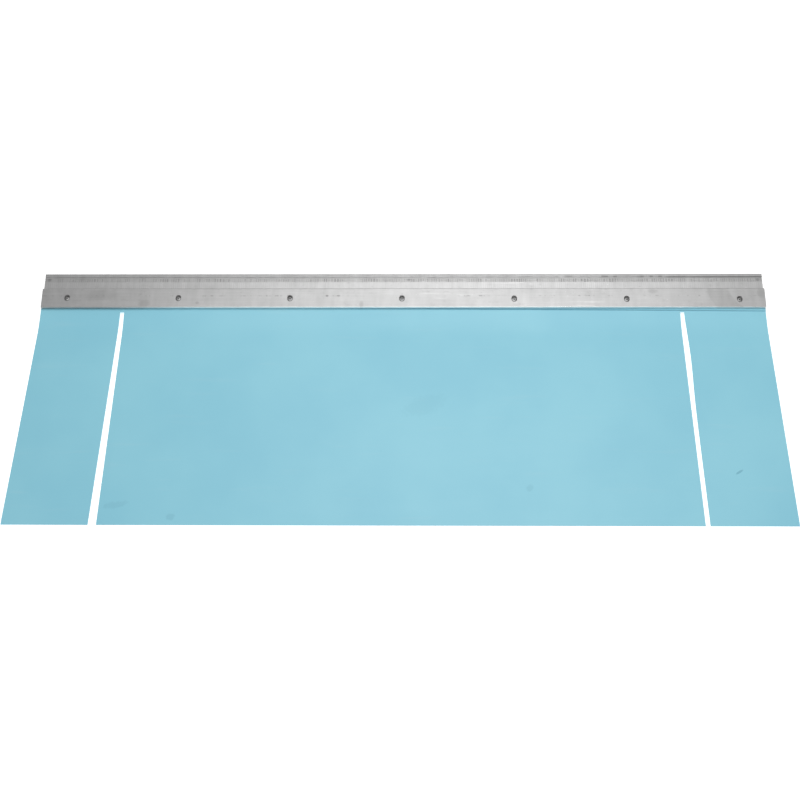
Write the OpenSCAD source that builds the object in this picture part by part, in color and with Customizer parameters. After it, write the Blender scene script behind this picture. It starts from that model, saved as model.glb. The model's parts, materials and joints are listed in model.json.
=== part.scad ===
// Squeegee applicator: a wide flexible sheet clamped in a two-piece aluminium rail.
// The rail carries a squeegee blade under its rear edge, so it leans forward on the
// work surface. Two slits part the sheet into a middle panel and two side flaps.
// +X runs along the rail, +Y points to the rail's rear edge, +Z is up. The origin lies
// on the work surface, at mid-length, half way between the rear edge and the free edge.

/* [Screws] */
// Number of clamp screws along the rail
screw_count = 7; // [5:1:9]
// Distance between neighbouring screws
screw_pitch = 200; // [150:5:220]
// Distance from the last screw to the end of the rail
end_margin = 46; // [30:1:60]
// Distance from the clamp bar's front edge to the middle of the row of screws
screw_front = 16; // [14:0.5:18]
// How far the row of screws drifts forwards from the first screw to the last
screw_drift = 3; // [0:0.5:4]
// Screw size, the diameter of the shank
screw_d = 5; // [4:1:5]
// Screw length, head included
screw_len = 10; // [10:1:12]

/* [Rail] */
// Depth of the back rail, front edge to rear edge
rail_d = 68.5; // [62:0.5:75]
// Thickness of the back rail
rail_t = 5; // [4.5:0.5:6]
// Forward lean of the rail, in degrees
rail_tilt = 7.5; // [6.5:0.5:8.5]
// Depth of the low lip along the rear edge
lip_d = 6; // [4:0.5:7.5]
// Height of the lip above the rail's floor
lip_h = 1.5; // [0.5:0.25:3]

/* [Clamp bar] */
// Depth of the clamp bar, front to rear
clamp_d = 37; // [36:1:40]
// Thickness of the clamp bar
clamp_t = 6; // [5.5:0.5:8]

/* [Blade] */
// Thickness of the squeegee blade
blade_t = 5; // [4:0.5:6]
// Distance from the blade's middle to the rail's rear edge
blade_back = 11.5; // [10:0.5:14]
// Depth of the blade channel's walls below the rail
channel_h = 2.5; // [1.5:0.5:3]

/* [Sheet] */
// Thickness of the sheet
sheet_t = 1; // [0.8:0.1:1.5]
// Depth of the sheet in front of the clamp bar
sheet_free = 407.5; // [300:0.5:600]
// Distance from the clamp bar to the tops of the slits
web = 6.5; // [6:0.5:9]
// How far the sheet stands out past the rail's left end
left_overhang = 1; // [0:0.5:3]
// Width of the left flap
left_flap_w = 143; // [80:1:200]
// Width of the slit beside the left flap
left_slit_w = 7; // [4:0.5:12]
// Width of the right flap
right_flap_w = 144.5; // [80:0.5:200]
// Width of the slit beside the right flap
right_slit_w = 7; // [4:0.5:12]
// How far the left flap's free end stands outwards
left_splay = 6.5; // [0:0.5:8]
// How far the right flap's free end stands outwards
right_splay = 0.5; // [0:0.5:8]
// Radius at which the sheet comes down to the work surface
bend_r = 250; // [200:10:260]
// Thickness of the packing strip over the sheet
packing_t = 0.8; // [0.5:0.1:1]
// How far the packing strip shows in front of the clamp bar at its right end
packing_show = 4.2; // [4:0.1:5]

/* [Hidden] */
$fn = 48;
cut = 1;

// Along the rail
rail_len = (screw_count - 1) * screw_pitch + 2 * end_margin;
half_len = rail_len / 2;

// Levels above the rail's underside, measured square to the rail
sheet_top = rail_t + sheet_t;
clamp_base = sheet_top + packing_t;
clamp_top = clamp_base + clamp_t;

// Rail details
edge_c = 0.6;
front_r = 1.5;
front_steps = 4;
groove_w = 3;
groove_h = 0.4;
line_w = 0.7;
blade_mid = rail_d - blade_back;
channel_wall = 2.5;
slot_h = 2.5;
slot_gap = 0.05;
blade_inset = 2;
lean = tan(rail_tilt);
blade_low = -(blade_mid - blade_t / 2) * lean;

// Fasteners
shank_gap = 0.05;
hole_gap = 0.25;
slot_run = 2.4;
sink_r = 4.65;
sink_h = 1.2;
head_r = 4.5;
head_h = 2.5;
socket_r = 1.75;
socket_h = 2;
pin_r = 1.25;
pin_head_r = 2.3;
pin_head_t = 0.8;
pin_sink_r = 2.5;
pin_sink_h = 1.2;
pin_low = -4;
pin_end = 8;
pin_middle = 12;

// Sheet details
hem_inset = 2;
pivot_gap = 0.55;
pivot_u = -(web + pivot_gap);
pivot_w = rail_t + sheet_t / 2;
packing_slip = 9.7;
packing_d = clamp_d - 10;

// The sheet's middle line, from the pivot down to the work surface
pivot_y = pivot_u * cos(rail_tilt) - pivot_w * sin(rail_tilt);
pivot_z = pivot_u * sin(rail_tilt) + pivot_w * cos(rail_tilt);
arc_drop = bend_r * (1 - cos(rail_tilt));
straight_len = (pivot_z - sheet_t / 2 - arc_drop) / sin(rail_tilt);
arc_steps = 16;

// Front to rear
clamp_front_y = -sheet_top * sin(rail_tilt);
free_y = clamp_front_y - sheet_free;
rear_y = rail_d * cos(rail_tilt);
mid_y = (free_y + rear_y) / 2;

// Across the sheet
sheet_left = -half_len - left_overhang;
left_slit_x = sheet_left + left_flap_w;
right_slit_x = half_len - right_flap_w;

// Where the screws and the pins stand
function screw_x(i) = -half_len + end_margin + i * screw_pitch;
function screw_u(i) = screw_front + screw_drift * (0.5 - i / (screw_count - 1));
function pin_x() = [-half_len + pin_end, pin_middle, half_len - pin_end];

// The sheet's middle line as [y, z] points, and its direction as an angle below level
function arc_angle(i) = rail_tilt * (1 - i / arc_steps);
function after_straight(s) = [
    pivot_y - s * cos(rail_tilt),
    pivot_z - s * sin(rail_tilt)
];
function on_arc(i) = let (a = arc_angle(i), p = after_straight(straight_len)) [
    p.x - bend_r * (sin(rail_tilt) - sin(a)),
    p.y - bend_r * (cos(a) - cos(rail_tilt))
];
function off(p, a, d) = [p.x - d * sin(a), p.y + d * cos(a)];

// One face of the bent sheet, d above its middle line
function face_line(d) = concat(
    [off(after_straight(pivot_gap), rail_tilt, d)],
    [for (i = [0 : arc_steps]) off(on_arc(i), arc_angle(i), d)],
    [[free_y, sheet_t / 2 + d]]
);
function reversed(list) = [for (i = [len(list) - 1 : -1 : 0]) list[i]];

// Places children drawn on the rail: x along it, y rearwards from its front edge,
// z up from its underside
module on_rail() {
    translate([0, -mid_y, 0]) rotate([rail_tilt, 0, 0]) children();
}

// Extrudes a [y, z] outline along X, centred
module along_x(length) {
    rotate([90, 0, 90]) linear_extrude(length, center = true) children();
}

// The room a rail-long bar fills, its ends' corners cut by edge_c seen from above and in front
module trimmed_ends(depth, low, high) {
    inner = half_len - edge_c;
    intersection() {
        translate([0, 0, low - cut]) linear_extrude(high - low + 2 * cut) polygon([
            [-half_len, edge_c], [-inner, 0], [inner, 0], [half_len, edge_c],
            [half_len, depth - edge_c], [inner, depth], [-inner, depth], [-half_len, depth - edge_c]
        ]);
        translate([0, depth + cut, 0]) rotate([90, 0, 0]) linear_extrude(depth + 2 * cut) polygon([
            [-half_len, low], [half_len, low], [half_len, high - edge_c],
            [inner, high], [-inner, high], [-half_len, high - edge_c]
        ]);
    }
}

// The rail's section: seat, floor, crimped groove, lip and blade channel
module rail_section() {
    lip_front = rail_d - lip_d;
    difference() {
        union() {
            polygon([
                [0, 0], [rail_d - edge_c, 0], [rail_d, edge_c],
                [rail_d, rail_t + lip_h - edge_c], [rail_d - edge_c, rail_t + lip_h],
                [lip_front + edge_c, rail_t + lip_h], [lip_front, rail_t + lip_h - edge_c],
                [lip_front, rail_t], [edge_c, rail_t], [0, rail_t - edge_c]
            ]);
            translate([blade_mid - blade_t / 2 - channel_wall, -channel_h])
                square([blade_t + 2 * channel_wall, channel_h + cut]);
        }
        translate([blade_mid - blade_t / 2, -channel_h - cut])
            square([blade_t, channel_h + cut + slot_h]);
        translate([blade_mid - groove_w / 2, rail_t - groove_h]) square([groove_w, cut]);
        translate([lip_front - line_w, rail_t - groove_h]) square([line_w, cut]);
    }
}

module back_rail() {
    color("silver") on_rail() difference() {
        intersection() {
            along_x(rail_len) rail_section();
            trimmed_ends(rail_d, -channel_h, rail_t + lip_h);
        }
        for (i = [0 : screw_count - 1])
            translate([screw_x(i), screw_u(i), -cut]) cylinder(r = screw_d / 2, h = rail_t + 2 * cut);
        for (x = pin_x()) translate([x, blade_mid, 0]) {
            cylinder(r = pin_r + shank_gap, h = rail_t);
            translate([0, 0, rail_t - pin_sink_h]) cylinder(r = pin_sink_r, h = pin_sink_h + cut);
        }
    }
}

module squeegee_blade() {
    width = blade_t - 2 * slot_gap;
    color("dimgray") on_rail() difference() {
        translate([0, blade_mid, (blade_low + slot_h) / 2])
            cube([rail_len - 2 * blade_inset, width, slot_h - blade_low], center = true);
        for (x = pin_x()) translate([x, blade_mid, pin_low - shank_gap])
            cylinder(r = pin_r + shank_gap, h = slot_h - pin_low + cut);
    }
}

module blade_pins() {
    head_low = rail_t - pin_sink_h;
    color("dimgray") on_rail() for (x = pin_x()) translate([x, blade_mid, 0]) {
        translate([0, 0, pin_low]) cylinder(r = pin_r, h = head_low - pin_low);
        translate([0, 0, head_low]) cylinder(r = pin_head_r, h = pin_head_t);
    }
}

// Screw holes through a layer that lies between the rail and the clamp bar
module layer_holes() {
    for (i = [0 : screw_count - 1])
        translate([screw_x(i), screw_u(i), 0]) cylinder(r = screw_d / 2 + hole_gap, h = clamp_top);
}

// The strip lies slightly askew, so that only its right end shows past the clamp bar
module packing_strip() {
    color("lightblue") on_rail() difference() {
        translate([0, 0, sheet_top]) linear_extrude(packing_t) polygon([
            [-half_len, packing_slip - packing_show], [half_len, -packing_show],
            [half_len, packing_d - packing_show], [-half_len, packing_d + packing_slip - packing_show]
        ]);
        layer_holes();
    }
}

// The clamp bar's rounded front edge, top to front
function front_round() = [
    for (i = [0 : front_steps]) let (a = 90 * i / front_steps)
        [front_r * (1 - sin(a)), clamp_top - front_r * (1 - cos(a))]
];

// A round or conical cut drawn out rearwards by slot_run
module slotted(low_r, high_r, h) {
    cylinder(r1 = low_r, r2 = high_r, h = h);
    translate([0, slot_run, 0]) {
        cylinder(r1 = low_r, r2 = high_r, h = h);
        rotate([90, 0, 0]) linear_extrude(slot_run)
            polygon([[-low_r, 0], [low_r, 0], [high_r, h], [-high_r, h]]);
    }
}

// The slots let the bar be set square on the sheet; the screws sit at their front ends
module clamp_bar() {
    color("silver") on_rail() difference() {
        intersection() {
            along_x(rail_len) polygon(concat([
                [0, clamp_base], [clamp_d, clamp_base], [clamp_d, clamp_top - edge_c],
                [clamp_d - edge_c, clamp_top]
            ], front_round()));
            trimmed_ends(clamp_d, clamp_base, clamp_top);
        }
        for (i = [0 : screw_count - 1]) translate([screw_x(i), screw_u(i), 0]) {
            slotted(screw_d / 2 + hole_gap, screw_d / 2 + hole_gap, clamp_top);
            translate([0, 0, clamp_top - sink_h]) slotted(sink_r, sink_r, sink_h + cut);
            translate([0, 0, clamp_top - sink_h - head_h]) slotted(sink_r - head_h, sink_r, head_h);
        }
    }
}

// Countersunk socket screws, their heads sunk in the clamp bar
module clamp_screws() {
    head_top = clamp_top - sink_h;
    shank_r = screw_d / 2 - shank_gap;
    color("gray") on_rail() for (i = [0 : screw_count - 1])
        translate([screw_x(i), screw_u(i), head_top]) difference() {
            union() {
                translate([0, 0, -screw_len]) cylinder(r = shank_r, h = screw_len - head_h / 2);
                translate([0, 0, shank_r - head_r]) cylinder(r1 = shank_r, r2 = head_r, h = head_r - shank_r);
            }
            translate([0, 0, -socket_h]) cylinder(r = socket_r, h = socket_h + cut, $fn = 6);
        }
}

module sheet_root() {
    color("lightblue") on_rail() difference() {
        translate([sheet_left, -web, rail_t])
            cube([rail_len + left_overhang, web + clamp_d - hem_inset, sheet_t]);
        layer_holes();
    }
}

// A part of the sheet that bends: the bent section, cut to a width that may lean outwards.
// The edges are given where the slits start and move by lean_out at the free end.
module bent_panel(x_low, x_high, lean_out) {
    color("lightblue") translate([0, -mid_y, 0]) intersection() {
        along_x(2 * rail_len) polygon(concat(face_line(sheet_t / 2), reversed(face_line(-sheet_t / 2))));
        translate([0, 0, -cut]) linear_extrude(clamp_top) polygon([
            [x_low, 0], [x_low, pivot_y], [x_low + lean_out, free_y - cut],
            [x_high + lean_out, free_y - cut], [x_high, pivot_y], [x_high, 0]
        ]);
    }
}

module left_flap() {
    bent_panel(sheet_left, left_slit_x, -left_splay);
}

module centre_panel() {
    bent_panel(left_slit_x + left_slit_w, right_slit_x - right_slit_w, 0);
}

module right_flap() {
    bent_panel(right_slit_x, half_len, right_splay);
}

back_rail();
squeegee_blade();
blade_pins();
packing_strip();
clamp_bar();
clamp_screws();
sheet_root();
left_flap();
centre_panel();
right_flap();
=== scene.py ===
"""Looks of a squeegee applicator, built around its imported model.

A stiff light blue sheet is clamped by screws in a two-piece aluminium rail. Two slits part the
sheet into a centre panel and two side flaps, which bend up on their own. A rubber blade sits in
a channel under the rail's rear edge, so the rail leans forward on the work surface.

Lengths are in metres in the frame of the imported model: +X along the rail, +Y towards the rail's
rear edge and +Z up from the work surface.
"""

import json
import logging
import math
from dataclasses import dataclass
from enum import Enum
from typing import Callable, Iterable, Sequence, Union

import bmesh
import bpy
from mathutils import Matrix, Vector, noise
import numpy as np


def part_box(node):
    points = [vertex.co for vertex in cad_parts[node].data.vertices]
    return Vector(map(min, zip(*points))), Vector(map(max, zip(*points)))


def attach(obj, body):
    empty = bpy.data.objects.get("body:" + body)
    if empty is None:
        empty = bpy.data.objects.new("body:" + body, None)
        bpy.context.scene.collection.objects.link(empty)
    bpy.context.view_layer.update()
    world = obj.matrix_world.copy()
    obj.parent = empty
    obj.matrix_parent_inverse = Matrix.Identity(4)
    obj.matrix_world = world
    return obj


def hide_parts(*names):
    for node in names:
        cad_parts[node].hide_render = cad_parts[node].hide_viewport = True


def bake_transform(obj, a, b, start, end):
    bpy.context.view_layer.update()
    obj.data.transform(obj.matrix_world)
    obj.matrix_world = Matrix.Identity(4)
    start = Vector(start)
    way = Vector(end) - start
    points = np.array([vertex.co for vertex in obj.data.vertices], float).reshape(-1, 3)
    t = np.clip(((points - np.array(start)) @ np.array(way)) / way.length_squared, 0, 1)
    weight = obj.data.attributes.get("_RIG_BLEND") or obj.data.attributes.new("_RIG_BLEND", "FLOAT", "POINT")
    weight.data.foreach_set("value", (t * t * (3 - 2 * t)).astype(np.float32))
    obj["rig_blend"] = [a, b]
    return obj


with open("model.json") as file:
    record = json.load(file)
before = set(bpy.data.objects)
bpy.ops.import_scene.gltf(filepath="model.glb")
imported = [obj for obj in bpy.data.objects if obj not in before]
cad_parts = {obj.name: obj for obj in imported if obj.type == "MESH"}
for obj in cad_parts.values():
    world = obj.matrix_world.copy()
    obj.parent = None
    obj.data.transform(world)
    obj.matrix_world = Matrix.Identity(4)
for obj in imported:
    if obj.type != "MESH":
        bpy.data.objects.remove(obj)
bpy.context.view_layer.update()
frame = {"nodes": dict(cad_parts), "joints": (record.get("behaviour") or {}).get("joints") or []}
MM = 0.001
LEAN = math.radians(7.5)
SEAT_W = 5.0 * MM
SHEET_THICKNESS = 1.0 * MM
SCREW_PITCH = 200.0 * MM
SCREW_ROW_U = 16.0 * MM
LOG = logging.getLogger("squeegee_applicator")

Colour = tuple[float, float, float, float]
Triple = tuple[float, float, float]
Operand = Union["Number", float]


# Shader building


class Number:
    """A value socket of a material that joins in Python arithmetic by adding Math nodes."""

    def __init__(self, graph: "Graph", socket: bpy.types.NodeSocket) -> None:
        """Wraps a socket.

        Args:
            graph: The node graph that the socket belongs to.
            socket: An output socket that carries one value.
        """
        self.graph = graph
        self.socket = socket

    def _math(self, operation: str, *operands: Operand) -> "Number":
        """Adds one Math node.

        Args:
            operation: The Math node's operation.
            operands: Values or numbers, in the order of the node's sockets.

        Returns:
            The node's result.
        """
        made = self.graph.node("ShaderNodeMath", {"operation": operation}, dict(enumerate(operands)))
        return Number(self.graph, made.outputs[0])

    def __add__(self, other: Operand) -> "Number":
        """Sum of two values."""
        return self._math("ADD", self, other)

    def __radd__(self, other: float) -> "Number":
        """Sum with a number on the left."""
        return self._math("ADD", other, self)

    def __sub__(self, other: Operand) -> "Number":
        """Difference of two values."""
        return self._math("SUBTRACT", self, other)

    def __rsub__(self, other: float) -> "Number":
        """Difference with a number on the left."""
        return self._math("SUBTRACT", other, self)

    def __mul__(self, other: Operand) -> "Number":
        """Product of two values."""
        return self._math("MULTIPLY", self, other)

    def __rmul__(self, other: float) -> "Number":
        """Product with a number on the left."""
        return self._math("MULTIPLY", other, self)

    def __truediv__(self, other: Operand) -> "Number":
        """Quotient of two values."""
        return self._math("DIVIDE", self, other)

    def __pow__(self, other: Operand) -> "Number":
        """Power of a value."""
        return self._math("POWER", self, other)

    def at_least(self, other: Operand) -> "Number":
        """The larger of two values."""
        return self._math("MAXIMUM", self, other)

    def at_most(self, other: Operand) -> "Number":
        """The smaller of two values."""
        return self._math("MINIMUM", self, other)

    def size(self) -> "Number":
        """The value without its sign."""
        return self._math("ABSOLUTE", self)

    def to_nearest(self, pitch: float) -> "Number":
        """Distance to the nearest multiple of a pitch."""
        return self._math("PINGPONG", self, pitch / 2)

    def rise(self, low: float, high: float) -> "Number":
        """Smooth step from 0 at low to 1 at high.

        Args:
            low: The value where the step starts.
            high: The value where it ends; below low, the step falls instead.

        Returns:
            The step, between 0 and 1.
        """
        if high < low:
            return 1.0 - self.rise(high, low)
        settings = {"interpolation_type": "SMOOTHSTEP"}
        inputs = {"Value": self, "From Min": low, "From Max": high}
        return Number(self.graph, self.graph.node("ShaderNodeMapRange", settings, inputs).outputs[0])

    def within(self, middle: Operand, reach: float, edge: float) -> "Number":
        """Mask that is 1 near a middle value and 0 away from it.

        Args:
            middle: Where the mask is centred.
            reach: Half the width of the mask.
            edge: Width over which it fades.

        Returns:
            The mask, between 0 and 1.
        """
        return (self - middle).size().rise(reach + edge, reach)


class Graph:
    """The node graph of one material."""

    def __init__(self, name: str) -> None:
        """Starts an empty material.

        Args:
            name: The material's name.
        """
        self.material = bpy.data.materials.new(name)
        self.material.use_nodes = True
        self.tree = self.material.node_tree
        self.tree.nodes.clear()

    def node(self, kind: str, settings: dict | None = None, inputs: dict | None = None) -> bpy.types.Node:
        """Adds a node of any type.

        Args:
            kind: The node's type.
            settings: The node's own properties, set first.
            inputs: Values or links by socket name or number.

        Returns:
            The new node.
        """
        made = self.tree.nodes.new(kind)
        for key, value in (settings or {}).items():
            setattr(made, key, value)
        for key, value in (inputs or {}).items():
            if isinstance(value, Number):
                self.tree.links.new(value.socket, made.inputs[key])
            elif isinstance(value, bpy.types.NodeSocket):
                self.tree.links.new(value, made.inputs[key])
            else:
                made.inputs[key].default_value = value
        return made

    def position(self) -> bpy.types.NodeSocket:
        """The place on the piece, in the model's frame."""
        return self.node("ShaderNodeTexCoord").outputs["Object"]

    def turned(
        self, vector: bpy.types.NodeSocket, location: Triple, rotation: Triple
    ) -> bpy.types.NodeSocket:
        """Coordinates moved and turned by a Mapping node.

        Args:
            vector: The coordinates to turn.
            location: Shift that is added after the turn.
            rotation: Turn about the three axes, in radians.

        Returns:
            The new coordinates.
        """
        inputs = {"Vector": vector, "Location": location, "Rotation": rotation}
        return self.node("ShaderNodeMapping", None, inputs).outputs[0]

    def split(self, vector: bpy.types.NodeSocket) -> tuple[Number, Number, Number]:
        """The three values of a vector."""
        parts = self.node("ShaderNodeSeparateXYZ", None, {0: vector}).outputs
        return Number(self, parts[0]), Number(self, parts[1]), Number(self, parts[2])

    def noise(self, place: bpy.types.NodeSocket, factors: Triple, detail: float, roughness: float) -> Number:
        """Cloudy noise around 0.5.

        Args:
            place: The coordinates.
            factors: Clouds to a metre along each axis.
            detail: How many finer layers are added.
            roughness: How strong the finer layers are.

        Returns:
            The noise, between 0 and 1.
        """
        scaled = self.node("ShaderNodeVectorMath", {"operation": "MULTIPLY"}, {0: place, 1: factors})
        inputs = {"Vector": scaled.outputs[0], "Scale": 1.0, "Detail": detail, "Roughness": roughness}
        return Number(self, self.node("ShaderNodeTexNoise", None, inputs).outputs["Fac"])

    def attribute(self, name: str) -> Number:
        """A value stored on the piece's vertices."""
        return Number(self, self.node("ShaderNodeAttribute", {"attribute_name": name}).outputs["Fac"])

    def mix(self, factor: Operand, first: object, second: object) -> bpy.types.NodeSocket:
        """Mixes two colours.

        Args:
            factor: 0 gives the first colour and 1 the second.
            first: A colour or a colour socket.
            second: A colour or a colour socket.

        Returns:
            The mixed colour's socket.
        """
        inputs = {0: factor, 6: first, 7: second}
        return self.node("ShaderNodeMix", {"data_type": "RGBA"}, inputs).outputs[2]

    def bump(self, height: Number, distance: float, strength: float) -> bpy.types.NodeSocket:
        """A normal from a height.

        Args:
            height: The surface's height, between 0 and 1.
            distance: What a height of 1 stands for, in metres.
            strength: Share of the effect.

        Returns:
            The normal's socket.
        """
        inputs = {"Height": height, "Distance": distance, "Strength": strength}
        return self.node("ShaderNodeBump", None, inputs).outputs[0]

    def finish(self, inputs: dict) -> bpy.types.Material:
        """Closes the graph with a Principled shader.

        Args:
            inputs: The shader's values and links.

        Returns:
            The finished material.
        """
        shader = self.node("ShaderNodeBsdfPrincipled", None, inputs)
        self.node("ShaderNodeOutputMaterial", None, {"Surface": shader.outputs[0]})
        return self.material


def grey(level: float) -> Colour:
    """An opaque neutral colour."""
    return (level, level, level, 1.0)


# The rail's own axes


@dataclass(frozen=True)
class RailPlane:
    """The rail's own axes: x along it, u rearwards from its front edge, w up from its underside.

    Attributes:
        lean: How far the rail leans forward, in radians.
        front_y: Where its front lower edge lies on the work surface.
    """

    lean: float
    front_y: float

    def point(self, x: float, u: float, w: float) -> Vector:
        """A place on the rail.

        Args:
            x: Distance along the rail from its middle.
            u: Distance rearwards from the rail's front edge.
            w: Height above the rail's underside.

        Returns:
            The same place in the model's frame.
        """
        y = self.front_y + u * math.cos(self.lean) - w * math.sin(self.lean)
        return Vector((x, y, u * math.sin(self.lean) + w * math.cos(self.lean)))

    def stand(self, x: float, u: float, w: float) -> Matrix:
        """The matrix that stands a shape on the rail at a place, square to the rail."""
        return Matrix.Translation(self.point(x, u, w)) @ Matrix.Rotation(self.lean, 4, "X")

    def coordinates(self, graph: Graph) -> bpy.types.NodeSocket:
        """The rail's own x, u and w as a material's coordinates."""
        shift = Matrix.Rotation(-self.lean, 3, "X") @ Vector((0.0, -self.front_y, 0.0))
        return graph.turned(graph.position(), tuple(shift), (-self.lean, 0.0, 0.0))


@dataclass(frozen=True)
class SheetPath:
    """The sheet's middle line: down along the rail's plane, round a wide bend, then level.

    Attributes:
        rail: The rail's axes.
        seat: Height of the rail's seat above its underside.
        thickness: The sheet's thickness.
        pivot_u: Where the panels' hinge lies, in front of the rail.
        bend: Radius at which the sheet comes down to the work surface.
    """

    rail: RailPlane
    seat: float
    thickness: float
    pivot_u: float
    bend: float = 250.0 * MM

    @classmethod
    def from_hinge(cls, hinge: Sequence[float], lean: float, seat: float, thickness: float) -> "SheetPath":
        """Finds the rail's place from the hinge line that lies in the middle of the sheet.

        Args:
            hinge: A point of the hinge line.
            lean: How far the rail leans forward, in radians.
            seat: Height of the rail's seat above its underside.
            thickness: The sheet's thickness.

        Returns:
            The path.
        """
        middle = seat + thickness / 2
        pivot_u = (hinge[2] - middle * math.cos(lean)) / math.sin(lean)
        front_y = hinge[1] - pivot_u * math.cos(lean) + middle * math.sin(lean)
        return cls(RailPlane(lean, front_y), seat, thickness, pivot_u)

    def pivot(self) -> Vector:
        """The hinge line's point at mid-length."""
        return self.rail.point(0.0, self.pivot_u, self.seat + self.thickness / 2)

    def straight(self) -> float:
        """Length of the stretch from the hinge line to the bend."""
        drop = self.pivot().z - self.thickness / 2 - self.bend * (1.0 - math.cos(self.rail.lean))
        return drop / math.sin(self.rail.lean)

    def reach(self, free_y: float) -> float:
        """Length of the path from the hinge line to the free edge.

        Args:
            free_y: Where the free edge lies.

        Returns:
            The length along the sheet.
        """
        lean = self.rail.lean
        level_y = self.pivot().y - self.straight() * math.cos(lean) - self.bend * math.sin(lean)
        return self.straight() + self.bend * lean + level_y - free_y

    def place(self, s: float, height: float) -> Vector:
        """A place on the bent sheet at x = 0.

        Args:
            s: Distance along the sheet from the hinge line.
            height: Distance from the middle line, square to the sheet.

        Returns:
            The place in the model's frame.
        """
        lean, straight = self.rail.lean, self.straight()
        along = min(s, straight)
        spot = self.pivot() + Vector((0.0, -math.cos(lean), -math.sin(lean))) * along
        angle = lean
        if s > straight:
            turned = min(s - straight, self.bend * lean) / self.bend
            angle = lean - turned
            spot.y -= self.bend * (math.sin(lean) - math.sin(angle))
            spot.z -= self.bend * (math.cos(angle) - math.cos(lean))
            spot.y -= max(0.0, s - straight - self.bend * lean)
        return spot + Vector((0.0, -math.sin(angle), math.cos(angle))) * height


# Finishes


class Grain(Enum):
    """Which way the fine marks of a metal face run."""

    ALONG = "along the rail"
    ACROSS = "across the rail"


@dataclass(frozen=True)
class Stain:
    """A darker stretch of a metal bar.

    Attributes:
        x: Its middle along the bar.
        u: Its middle front to rear.
        reach_x: Half its length.
        reach_u: Half its depth.
        strength: How dark it is.
    """

    x: float
    u: float
    reach_x: float
    reach_u: float
    strength: float

    def mask(self, x: Number, u: Number, breakup: Number) -> Number:
        """The stain as a mask.

        Args:
            x: Place along the bar.
            u: Place front to rear.
            breakup: Noise that frays the stain.

        Returns:
            The mask, from 0 to its strength.
        """
        spread = ((x - self.x) / self.reach_x) ** 2.0 + ((u - self.u) / self.reach_u) ** 2.0
        return (spread + (breakup - 0.5) * 1.4).rise(1.3, 0.1) * self.strength


@dataclass(frozen=True)
class Aluminium:
    """Mill-finish aluminium, dulled by handling.

    Attributes:
        name: The material's name.
        plane: The rail's axes, which the marks follow.
        grain: Which way the fine marks run.
        tone: The metal's own grey.
        roughness: How matt it is.
        stains: Darker places.
    """

    name: str
    plane: RailPlane
    grain: Grain
    tone: float
    roughness: float
    stains: tuple[Stain, ...] = ()

    def soil_and_painted_shade(self, graph: Graph, place: bpy.types.NodeSocket) -> Number:
        """How dark each spot is made by dirt, and on some bars by painted shade, from 0 to 1.

        Args:
            graph: The material's graph.
            place: The rail's own coordinates.

        Returns:
            The dirt mask.
        """
        x, u, _ = graph.split(place)
        breakup = graph.noise(place, (90.0, 120.0, 120.0), 3.0, 0.6)
        specks = graph.noise(place, (260.0, 330.0, 330.0), 2.0, 0.5)
        total = breakup.rise(0.55, 0.8) * 0.10 + specks.rise(0.68, 0.76) * 0.14
        for stain in self.stains:
            total = total + stain.mask(x, u, breakup)
        return total

    def polish_and_painted_highlight(self, graph: Graph, place: bpy.types.NodeSocket) -> Number:
        """How bright each spot is rubbed, and on some bars lit by a painted highlight, from 0 to 1.

        Args:
            graph: The material's graph.
            place: The rail's own coordinates.

        Returns:
            The mask; plain bars have only specks of it.
        """
        specks = graph.noise(place, (300.0, 300.0, 300.0), 2.0, 0.5)
        return specks.rise(0.68, 0.8) * 0.2

    def scratches(self, graph: Graph, place: bpy.types.NodeSocket) -> Number:
        """Single longer scratches along the rail, from 0 to 1."""
        lines = graph.noise(place, (13.0, 760.0, 760.0), 1.0, 0.4)
        gate = graph.noise(place, (7.0, 50.0, 50.0), 1.0, 0.5)
        return lines.rise(0.66, 0.72) * gate.rise(0.46, 0.6)

    def streaks(self, graph: Graph, place: bpy.types.NodeSocket) -> tuple[Number, Number]:
        """The finest marks and the coarser ones beside them, both following the grain.

        Args:
            graph: The material's graph.
            place: The rail's own coordinates.

        Returns:
            Two noises around 0.5.
        """
        if self.grain is Grain.ALONG:
            fine, coarse = (16.0, 1500.0, 1500.0), (9.0, 420.0, 420.0)
        else:
            fine, coarse = (1300.0, 18.0, 60.0), (330.0, 14.0, 60.0)
        return (
            graph.noise(place, fine, 3.0, 0.6),
            graph.noise(place, coarse, 2.0, 0.5),
        )

    def material(self) -> bpy.types.Material:
        """Builds the metal.

        Returns:
            The finished material.
        """
        graph = Graph(self.name)
        place = self.plane.coordinates(graph)
        fine, coarse = self.streaks(graph, place)
        across = graph.noise(place, (85.0, 22.0, 22.0), 2.0, 0.5)
        broad = graph.noise(place, (7.0, 25.0, 25.0), 2.0, 0.5)
        soil_and_painted_shade = self.soil_and_painted_shade(graph, place).at_most(1.0)
        scratches = self.scratches(graph, place)
        light = fine * 0.2 + coarse * 0.2 + across * 0.36 + broad * 0.24 + scratches * 0.1
        bare = graph.mix(light, grey(self.tone * 0.7), grey(self.tone * 1.42))
        polish_and_painted_highlight = self.polish_and_painted_highlight(graph, place)
        # Rubbed spots and painted highlights both mix towards pale grey.
        clean = graph.mix(polish_and_painted_highlight, bare, grey(0.92))
        # Dark grey for dirt, and for the painted shade of some bars.
        dirt_and_shade_grey = (self.tone * 0.22, self.tone * 0.22, self.tone * 0.205, 1.0)
        height = fine * 0.5 + coarse * 0.4 - scratches * 0.8 - soil_and_painted_shade * 0.3
        return graph.finish({
            "Base Color": graph.mix(soil_and_painted_shade, clean, dirt_and_shade_grey),
            "Metallic": 1.0 - soil_and_painted_shade * 0.6,
            "Roughness": self.roughness + (fine - 0.5) * 0.1 - scratches * 0.1 + soil_and_painted_shade * 0.2 - polish_and_painted_highlight * 0.18,
            "Normal": graph.bump(height, 0.02 * MM, 0.5),
        })


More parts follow.
